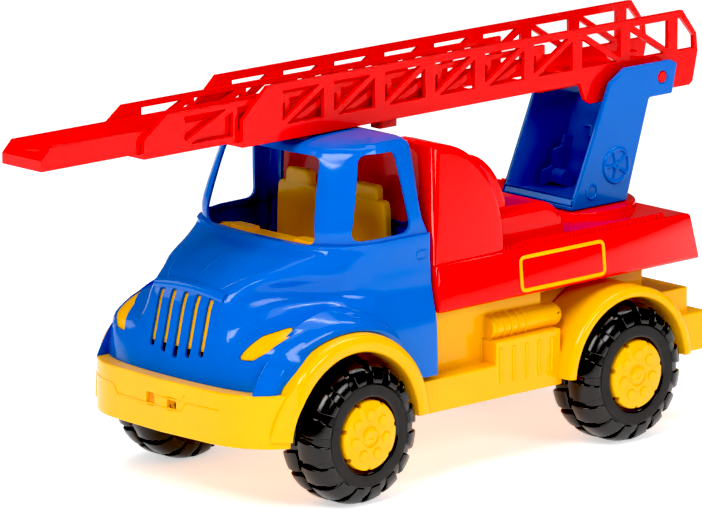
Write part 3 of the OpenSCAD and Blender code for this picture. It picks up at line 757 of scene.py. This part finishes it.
def bumperPlan(inset):
    # the truck's outline seen from above, with its broad front corners
    hw, front, r = 62.4 - inset, -57.5 + inset, 32.8 - inset
    turns = [k * pi / 24 for k in range(13)]
    corner = [(hw - r + r * sin(turn), front + r - r * cos(turn)) for turn in turns]
    return corner + [(hw, 70), (-hw, 70)] + [(-x, y) for x, y in reversed(corner)]


def kept(piece, shape):
    # keeps what lies inside a closed shape
    return combined(piece, [shape], "INTERSECT")


def makeFender(side):
    # flare over the front wheel that follows the arch
    profile = [(42.5, 48), (42.5, 57.2), (43.1, 57.8), (44.6, 57.7), (46.4, 56.6), (48.2, 54.4), (49.8, 51.8),
               (51.2, 49.6), (52, 48)]
    # t runs from the door side to the bumper; the flare is fullest over the wheel
    flare = sector("fender", profile, 30, 160, 70, bluePlastic, (cabSize["archY"], axleZ), side,
                   lambda t: 0.62 + 0.38 * sin(pi * min(1, max(0, t - 0.02) * 1.25)) ** 2)
    kept(flare, prism("plan", bumperPlan(1.6), "z", 30, 110))
    fromSide = [(-60, 52), (22, 52), (22, 46.2), (49.8, 46.2), (49.8, 100), (-60, 100)]
    return kept(flare, prism("sideView", fromSide, "x", -80, 80))


def makeCab():
    c = cabSize
    shell = loftOf("cabShell", outerRows(), bluePlastic)
    meet = surfaceOf(shell)

    def onNose(x, z, sunk=0.0):
        hit = meet((x, -90, z), (0, 1, 0))
        return hit[0], hit[1] + sunk, hit[2]
    # a heavy brow over the slots, then the bonnet lid's lip, middle ridge and creases
    brow = [onNose(x, 88.0 - x ** 2 * 0.004, 1.5) for x in range(-21, 22, 3)]
    lip = [onNose(x, 90.2 - abs(x) * 0.05, 0.25) for x in range(-16, 17, 2)]
    ridge = [onNose(0, 90 + k, 0.2) for k in range(10)]
    relief = [bead("brow", brow, 2.5, bluePlastic, resolution=6), bead("lip", lip, 0.6, bluePlastic),
              bead("ridge", ridge, 0.5, bluePlastic)]
    for side in (1, -1):
        crease = [onNose(side * (16 + k * 1.1), 89.4 + k * 0.85, 0.3) for k in range(11)]
        relief.append(bead("crease", crease, 0.55, bluePlastic))
    thickened(shell, c["wall"])
    sill = c["belt"] + 1.2
    cuts = []

    def cut(name, outline, axis, low, high):
        cuts.append(prism(name, outline, axis, low, high))
    window = [(7.4, sill), (39.4, sill + 0.4), (34.3, roofZ - 4.2), (16.5, roofZ - 4.2)]
    cut("window", filleted(window, c["corner"]), "x", -70, 70)
    cut("arch", circle(c["archR"], 96, (c["archY"], axleZ)), "x", -80, 80)
    for side in (1, -1):
        cut("lampHole", [(side * x, z) for x, z in lampView(0.25)], "y", -90, -12)
    screen = [(-34, c["belt"] - 0.6), (34, c["belt"] - 0.6), (28.6, roofZ - 5), (-28.6, roofZ - 5)]
    cut("screen", filleted(screen, c["corner"]), "y", -30, 16)
    back = [(-39, sill + 1), (39, sill + 1), (35.5, roofZ - 8), (-35.5, roofZ - 8)]
    cut("back", filleted(back, 5), "y", 38, 60)
    for i in (-2, -1, 0, 1, 2):
        x, low = i * c["slotPitch"], c["bumperTop"] + 7.6 + abs(i) * 1.3
        slot = filleted(rectangle(x - c["slotWide"] / 2, x + c["slotWide"] / 2, low, c["slotTop"]), 1.4)
        cut("slot", slot, "y", -80, -25)
    # the shell stays open below the bumper's top, under the seats and below the doors
    cut("under", rectangle(-90, 27, 0, c["bumperTop"]), "x", -90, 90)
    cut("middle", rectangle(17, 90, 0, c["bumperTop"] + 0.4), "x", -35, 35)
    cut("flank", rectangle(22, 90, 0, c["sill"] + 2), "x", -90, 90)
    combined(shell, cuts)
    for side in (1, -1):
        relief.append(makeFender(side))
        handle = filleted([(41, 95), (46.5, 95.4), (46.5, 99), (41, 98.6)], 1.2, 3)
        outline = [(side * 49.9, y, z) for y, z in handle]
        relief.append(bead("handle", outline, 0.45, bluePlastic, closed=True))
    shell = joined("cabShell", [shell] + relief)
    shell.data.set_sharp_from_angle(angle=radians(30))
    show(shell, "truck", ["cab_shell"])


def makeGrillePanel():
    # a sheet that follows the nose just inside its wall, behind the slots
    width = 7
    across = 2 * width + 1
    rows = cabRows(cabLines, cabSize["wall"] + 0.15)[5:27]
    points = [row[i] for row in rows for i in range(-width, width + 1)]
    faces = [(k * across + i, k * across + i + 1, (k + 1) * across + i + 1, (k + 1) * across + i)
             for k in range(len(rows) - 1) for i in range(across - 1)]
    panel = thickened(fromPoints("grillePanel", points, faces, yellowPlastic), cabSize["panelDepth"])
    show(panel, "truck", ["grille_insert"])


def makeLamps():
    # each lens is a slice of the nose's own shape, from just under its surface
    lamps = []
    for side in (1, -1):
        lens = prism("lens", [(side * x, z) for x, z in lampView(0.1)], "y", -90, -12, yellowPlastic)
        kept(lens, loftOf("lamp", outerRows(0.9), yellowPlastic, closeLow=True))
        lamps.append(combined(lens, [loftOf("inside", outerRows(3.4), yellowPlastic, closeLow=True)]))
    lamp = joined("headLamps", lamps)
    lamp.data.set_sharp_from_angle(angle=radians(30))
    show(lamp, "truck", ["head_lamps"])


makeCab()
makeGrillePanel()
makeLamps()
print("cab made")


# the plain mouldings are softened copies of the CAD nodes
softCopies = [
    # node, body, piece name, edge radius, plastic
    ("chassis", "truck", "chassisMoulding", 0.6, "yellow"),
    ("turret", "turret", "turretFrame", 0.7, "blue"),
    ("base_rails", "ladder_base", "baseRails", 0, "red"),
    ("base_floor", "ladder_base", "baseFloor", 0, "red"),
    ("pivot_pegs", "ladder_base", "pivotPegs", 0.4, "red"),
    ("middle_rails", "ladder_middle", "middleRails", 0, "red"),
    ("middle_floor", "ladder_middle", "middleFloor", 0, "red"),
    ("top_rails", "ladder_top", "topRails", 0, "red"),
    ("top_floor", "ladder_top", "topFloor", 0, "red"),
]
for node, body, name, width, plastic in softCopies:
    piece = cadCopy(node, name, plastics[plastic])
    if width:
        rounded(piece, width)
    show(piece, body, [node])
for node in ("front_axle", "rear_axle"):
    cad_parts[node].data.materials.clear()
    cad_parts[node].data.materials.append(axleSteel)
print("mouldings made")


# front and rear hold each arch's middle along Y, then its inner and outer radius
archSize = {"front": (-3.0, 34.7, 42.4), "rear": (wheelbase + 0.5, 32.7, 37.2), "face": 61.8, "root": 36.0,
            "footZ": 32.8, "edge": 3.2}


def makeArches():
    a = archSize
    for place in ("front", "rear"):
        y, inner, outer = a[place]
        face, root = a["face"], a["root"]
        edge = min(a["edge"], (outer - inner) * 0.45)
        profile = [(inner, root), (inner, face - 1.0), (inner + 0.4, face - 0.3), (inner + 1.0, face),
                   (outer - edge, face), (outer - edge * 0.55, face - edge * 0.12),
                   (outer - edge * 0.2, face - edge * 0.45), (outer, face - edge), (outer, root)]
        foot = degrees(asin((a["footZ"] - axleZ) / outer))
        pieces = []
        for side in (1, -1):
            ring = sector("arch", profile, foot, 180 - foot, 64, yellowPlastic, (y, axleZ), side)
            if place == "front":
                kept(ring, prism("plan", bumperPlan(0.4), "z", 20, 90))
            pieces.append(ring)
        arches = joined(place + "Arches", pieces)
        smoothTo(arches, 35)
        show(arches, "truck", [place + "_arches"])


makeArches()
print("arches made")


deckSize = {"half": 51.7, "flare": 2.0, "low": 71.2, "top": 91.2, "rear": 202.0, "front": 50.6, "wall": 2.2,
            "humpTop": 144.8, "tierEdge": 3.4, "restTop": 146.8, "turretY": 177.0, "discR": 30.4,
            "discTop": 93.2, "pinR": 8.06}


def deckBlock(inset):
    d = deckSize
    low, high = d["half"] + d["flare"] - inset, d["half"] - inset
    floor = d["low"] - (1 if inset else 0)
    top = d["top"] - inset
    front, back = d["front"] + inset, d["rear"] - inset
    points = [(-low, front, floor), (low, front, floor), (low, back + 4, floor), (-low, back + 4, floor),
              (-high, front, top), (high, front, top), (high, back, top), (-high, back, top)]
    faces = [(0, 3, 2, 1), (4, 5, 6, 7), (0, 1, 5, 4), (1, 2, 6, 5), (2, 3, 7, 6), (3, 0, 4, 7)]
    return fromPoints("deck", points, faces, redPlastic, smooth=False)


def humpTier(half, top, start, ridge, foot, inset):
    # the solid tier reaches down into the deck, the hollow one only through its top
    d = deckSize
    bottom = d["top"] - (3.2 if inset else 12)
    outline = [(start + inset, bottom), (start + inset, top - inset)]
    for k in range(15):
        turn = k * pi / 28
        outline.append((ridge + (foot - inset - ridge) * sin(turn),
                        d["top"] + (top - inset - d["top"]) * cos(turn)))
    outline.append((foot - inset, bottom))
    if inset:
        return prism("tier", outline, "x", inset - half, half - inset, redPlastic)
    return pillow("tier", outline, half, d["tierEdge"], redPlastic)


def makeRearBody():
    d = deckSize
    front = d["front"]
    # each tier's half width, top, front, and where its curve begins and lands
    tiers = [(d["half"] / 2, d["humpTop"], front + 0.5, front + 18, front + 27),
             (d["half"] - 2, d["humpTop"] - 3.3, front + 0.2, front + 4, front + 43),
             (d["half"] - 14, d["humpTop"] - 13, front + 12, front + 31, front + 58),
             (d["half"] - 10, d["top"] + 15, front + 25, front + 72, front + 86)]
    body = rounded(deckBlock(0), 1.5, steps=3)
    humps = [humpTier(*tier, 0) for tier in tiers]
    slewMiddle = (0, d["turretY"])
    disc = prism("disc", circle(d["discR"], 96, slewMiddle), "z", d["top"] - 1, d["discTop"], redPlastic)
    # two blocks behind the roof carry the parked ladder
    rest = rectangle(front + 6, front + 16, 128, d["restTop"])
    rests = [softBlock("rest", rest, "x", side * 5, side * 11, redPlastic, 1.6, 0.6) for side in (1, -1)]
    combined(body, humps + [rounded(disc, 0.6, steps=3)] + rests, "UNION")
    pin = prism("pin", circle(d["pinR"], 64, slewMiddle), "z", 60, 110)
    combined(body, [deckBlock(d["wall"])] + [humpTier(*tier, d["wall"]) for tier in tiers] + [pin])
    rib = rectangle(front + 2.1, 188, d["low"], d["top"] - 2.1)
    ribs = [prism("rib", rib, "x", side * 30.4, side * 32.4, redPlastic) for side in (1, -1)]
    body = joined("rearBody", [body] + ribs)
    smoothTo(body, 30)
    show(body, "truck", ["rear_body"])


makeRearBody()
print("rear body made")


seatSize = {"middle": 20.5, "half": 14.0, "floor": 67.4, "backY": 39.0, "backTop": 117.5, "headTop": 123.5}


def makeSeats():
    s = seatSize
    standLow = boxOf("cab_interior")[0].z
    pieces = []
    for side in (1, -1):
        x = side * s["middle"]
        back = [(x - s["half"], 80), (x + s["half"], 80), (x + 12.6, 112), (x + 11.8, s["backTop"]),
                (x - 11.8, s["backTop"]), (x - 12.6, 112)]
        head = [(x - 8.3, 112), (x + 8.3, 112), (x + 7.4, s["headTop"]), (x - 7.4, s["headTop"])]
        cushion = [(21, 69), (43, 69), (43, 82), (22, 81.5)]
        pieces.append(softBlock("back", back, "y", s["backY"] - 0.8, s["backY"] + 4, yellowPlastic, 3.5, 1.3))
        pieces.append(softBlock("head", head, "y", s["backY"] - 0.4, s["backY"] + 4, yellowPlastic, 2.6, 1.2))
        pieces.append(softBlock("cushion", cushion, "x", x - 13.5, x + 13.5, yellowPlastic, 3.0, 1.4))
    # tray under the seats, its stand, the bulkhead, and the dash with two instrument pods
    for name, outline, axis, low, high, corner, edge in (
            ("tray", rectangle(-38, 38, 10, 46), "z", s["floor"], s["floor"] + 2, 2, 0.5),
            ("stand", rectangle(-28.4, 28.4, 12, 44), "z", standLow, s["floor"] + 1, 1.5, 0.4),
            ("bulkhead", rectangle(-38, 38, 69, 102.5), "y", 10, 12, 2, 0.5),
            ("dash", rectangle(-33, 33, 2, 12), "z", 99.5, 103, 2, 0.9),
            ("pod", rectangle(-27, -13, 4.5, 11.5), "z", 102, 104.2, 2.2, 0.7),
            ("pod", rectangle(13, 27, 4.5, 11.5), "z", 102, 104.2, 2.2, 0.7)):
        pieces.append(softBlock(name, outline, axis, low, high, yellowPlastic, corner, edge))
    show(joined("cabSeats", pieces), "truck", ["cab_interior"])


makeSeats()
print("seats made")


reliefSize = {"signLow": 73.4, "signHigh": 87.4, "signFront": 99.0, "signBack": 148.0, "toothPitch": 2.5,
              "toothFront": 92.0, "toothBack": 190.0, "toothX": 48.3, "turretX": 21.9, "spokes": 5,
              "ribs": 5, "ribFront": 86.0, "ribPitch": 7.5, "hoops": 5, "hoopR": 5.25, "hoopPitch": 4.2}
bodyMeet = surfaceOf(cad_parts["rear_body"])
chassisMeet = surfaceOf(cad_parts["chassis"])


def makeSigns():
    # blank raised frames on the deck's flanks
    s = reliefSize
    corners = filleted(rectangle(s["signFront"], s["signBack"], s["signLow"], s["signHigh"]), 2.4, 4)
    frames = []
    for side in (1, -1):
        path = []
        for y, z in corners:
            hit = bodyMeet((side * 90, y, z), (-side, 0, 0))
            path.append((hit[0] - side * 0.35, y, z))
        frames.append(bead("signFrame", path, 0.95, yellowPlastic, closed=True))
    show(joined("signFrames", frames), "truck", [])


def makeTeeth():
    # fine toothed strips along the deck's edges
    s = reliefSize
    count = int((s["toothBack"] - s["toothFront"]) / s["toothPitch"])
    deckTop = deckSize["top"]
    tooth = fromPoints("tooth", [(-1.5, -0.9, -0.5), (1.5, -0.9, -0.5), (1.5, 0.9, -0.5), (-1.5, 0.9, -0.5),
                                 (-1.3, -0.25, 1.9), (1.3, -0.25, 1.9), (1.3, 0.25, 1.9), (-1.3, 0.25, 1.9)],
                       [(0, 3, 2, 1), (4, 5, 6, 7), (0, 1, 5, 4), (1, 2, 6, 5), (2, 3, 7, 6), (3, 0, 4, 7)],
                       redPlastic, shift=False)
    rounded(tooth, 0.2)
    strips = []
    for side in (1, -1):
        start = (side * s["toothX"], s["toothFront"], deckTop)
        strips.append(repeated("teeth", tooth, count, redPlastic, start, step=(0, s["toothPitch"], 0)))
        strips.append(bead("edge", [(side * 50.7, y, deckTop - 0.7) for y in (90, 200)], 0.95, redPlastic))
    bpy.data.objects.remove(tooth)
    show(joined("deckTeeth", strips), "truck", [])


def ringOn(name, x, middle, ringR, radius, steps):
    # a raised ring on one of the turret's plates
    path = [(x, y, z) for y, z in circle(ringR, steps, middle)]
    return bead(name, path, radius, bluePlastic, closed=True)


def makeTurretRelief():
    # wheel-shaped relief with five spokes and a small ring below it, on both plates
    s = reliefSize
    pieces = []
    middle = (186, 110)
    spoke = bead("spoke", [(0, 0, 1.4), (0, 0, 7.2)], 0.85, bluePlastic, shift=False)
    for side in (1, -1):
        x = side * s["turretX"]
        pieces.append(ringOn("ring", x, middle, 7.3, 1.0, 40))
        pieces.append(ringOn("hub", x, middle, 1.2, 1.1, 20))
        pieces.append(ringOn("small", x, (171, 100.5), 3.1, 0.6, 28))
        pieces.append(repeated("spokes", spoke, s["spokes"], bluePlastic, (x,) + middle,
                               firstTurn=0.3, turn=2 * pi / s["spokes"]))
    # inside: a stepped slot on the back wall, two bosses at its foot and stepped brackets by the plates
    def onWall(x, z):
        return x, 190.0 + (z - 93.5) * 12.2 / 39.4, z
    for side in (1, -1):
        slot = [onWall(side * x, z) for x, z in ((9.5, 121), (5.5, 121), (5.5, 117), (3.6, 117), (3.6, 98))]
        pieces.append(bead("slot", slot, 0.8, bluePlastic))
        boss = [(side * x, 186.5, 99.5) for x in (8, 19.5)]
        pieces.append(bead("boss", boss, 3.6, bluePlastic, resolution=8))
        steps = filleted([(178, 97), (191, 97), (197, 116), (192, 117), (190.5, 112), (186, 111.5),
                          (184.5, 104), (179, 103)], 1.0, 2)
        pieces.append(rounded(prism("bracket", steps, "x", side * 15.5, side * 17.2, bluePlastic), 0.35))
    bpy.data.objects.remove(spoke)
    show(joined("turretRelief", pieces), "turret", [])


def makeChassisRelief():
    # stepped line across the bumper, ribs on the lockers and hoops on the air tanks
    s = reliefSize
    pieces = []
    line = [(-50, 44.8), (-31, 44.6), (-28, 40.6), (-4, 40.4), (12, 40.3), (15, 44.2), (40, 44.4)]
    upper = [(x, z + 4.2) for x, z in line[3:6]]
    for outline in (line, upper):
        path = []
        for (x0, z0), (x1, z1) in zip(outline, outline[1:]):
            for k in range(4):
                x, z = x0 + (x1 - x0) * k / 4, z0 + (z1 - z0) * k / 4
                hit = chassisMeet((x, -120, z), (0, 1, 0))
                if hit and hit[1] < -30:
                    path.append((x, hit[1] + 0.1, z))
        pieces.append(bead("bumperLine", path, 0.42, yellowPlastic))
    for side in (1, -1):
        for k in range(s["ribs"]):
            y = s["ribFront"] + k * s["ribPitch"]
            path = []
            for z in (36, 42, 46, 49, 51):
                hit = chassisMeet((side * 90, y, z), (-side, 0, 0))
                if hit:
                    path.append((hit[0] - side * 0.2, y, z))
            if len(path) > 1:
                pieces.append(bead("rib", path, 0.9, yellowPlastic))
    # hoops round the front half of each air tank
    loop = [(x, 0, z) for x, z in circle(s["hoopR"], 32)]
    hoop = bead("hoop", loop, 0.55, yellowPlastic, closed=True, shift=False)
    for side in (1, -1):
        pieces.append(repeated("hoops", hoop, s["hoops"], yellowPlastic, (side * 46, 87, 58.5),
                               step=(0, s["hoopPitch"], 0)))
    bpy.data.objects.remove(hoop)
    show(joined("chassisRelief", pieces), "truck", [])


makeSigns()
makeTeeth()
makeTurretRelief()
makeChassisRelief()
print("reliefs made")


# metres and degrees; each light has its azimuth, elevation, distance, width and depth, and watts
stageSize = {"azimuth": 46.937, "elevation": 12.769, "distance": 3.13497, "lens": 376.7,
             "aim": (-0.03177, 0.025, 0.07572), "floor": 7.0, "floorSides": 64}
lights = {
    "keyBox": (20, 50, 1.5, (0.7, 0.5), 11.5),
    "sideBox": (95, 28, 1.5, (0.6, 0.4), 6.5),
    "topBox": (180, 78, 1.5, (1.2, 0.9), 6),
    "farBox": (-60, 25, 1.6, (0.7, 0.7), 3.5),
    # two bright strips give the mouldings their crisp highlights
    "noseStrip": (12, 38, 1.2, (0.7, 0.05), 2.2),
    "deckStrip": (150, 62, 1.2, (0.05, 0.9), 3.0),
}


def makeFloor():
    material, tree = newMaterial("pale studio card")
    place = addNode(tree, "ShaderNodeTexCoord")
    # matt card with a faint fibre
    fibre = addNode(tree, "ShaderNodeTexNoise", wires={
        "Vector": (place, "Object"), "Scale": 900.0, "Detail": 3})
    tone = addNode(tree, "ShaderNodeValToRGB", wires={"Fac": (fibre, "Fac")})
    setTones(tone, "#f6f5f4", "#fdfcfc")
    bump = addNode(tree, "ShaderNodeBump", wires={
        "Height": (fibre, "Fac"), "Strength": 0.1, "Distance": 0.0001})
    shader = addNode(tree, "ShaderNodeBsdfPrincipled", wires={
        "Base Color": (tone, "Color"), "Roughness": 0.6, "Normal": (bump, "Normal"),
        "Emission Color": toLinear("#ffffff"), "Emission Strength": 0.58})
    addNode(tree, "ShaderNodeOutputMaterial", wires={"Surface": (shader, "BSDF")})
    mesh = bpy.data.meshes.new("studioFloor")
    count = stageSize["floorSides"]
    mesh.from_pydata([(x, y, 0) for x, y in circle(stageSize["floor"], count)], [], [tuple(range(count))])
    newObject("studioFloor", mesh, material)


def direction(azimuth, elevation):
    a, e = radians(azimuth), radians(elevation)
    return Vector((sin(a) * cos(e), -cos(a) * cos(e), sin(e)))


def areaLight(name, azimuth, elevation, distance, size, power):
    lamp = bpy.data.lights.new(name, "AREA")
    lamp.shape = "RECTANGLE"
    lamp.size, lamp.size_y = size
    lamp.energy = power
    light = bpy.data.objects.new(name, lamp)
    towards = direction(azimuth, elevation)
    light.location = Vector((0, 0, 0.06)) + distance * towards
    light.rotation_euler = (-towards).to_track_quat("-Z", "Y").to_euler()
    bpy.context.scene.collection.objects.link(light)


def makeStage():
    s = stageSize
    makeFloor()
    for name, values in lights.items():
        areaLight(name, *values)
    world = bpy.data.worlds.new("studioAir")
    world.use_nodes = True
    air = world.node_tree.nodes["Background"]
    air.inputs["Color"].default_value = toLinear("#ffffff")
    air.inputs["Strength"].default_value = 0.16
    bpy.context.scene.world = world
    camera = bpy.data.objects.new("camera", bpy.data.cameras.new("camera"))
    bpy.context.scene.collection.objects.link(camera)
    bpy.context.scene.camera = camera
    towards = direction(s["azimuth"], s["elevation"])
    camera.location = Vector(s["aim"]) + s["distance"] * towards
    camera.rotation_euler = (-towards).to_track_quat("-Z", "Y").to_euler()
    camera.data.sensor_width = 36
    camera.data.lens = s["lens"]
    camera.data.clip_end = 50
    view = bpy.context.scene.view_settings
    view.view_transform = "Standard"
    # a firm black point keeps the plastics as saturated as they look under studio flash
    view.use_curve_mapping = True
    view.curve_mapping.black_level = (0.036, 0.036, 0.036)
    view.curve_mapping.update()


makeStage()
print("stage made")
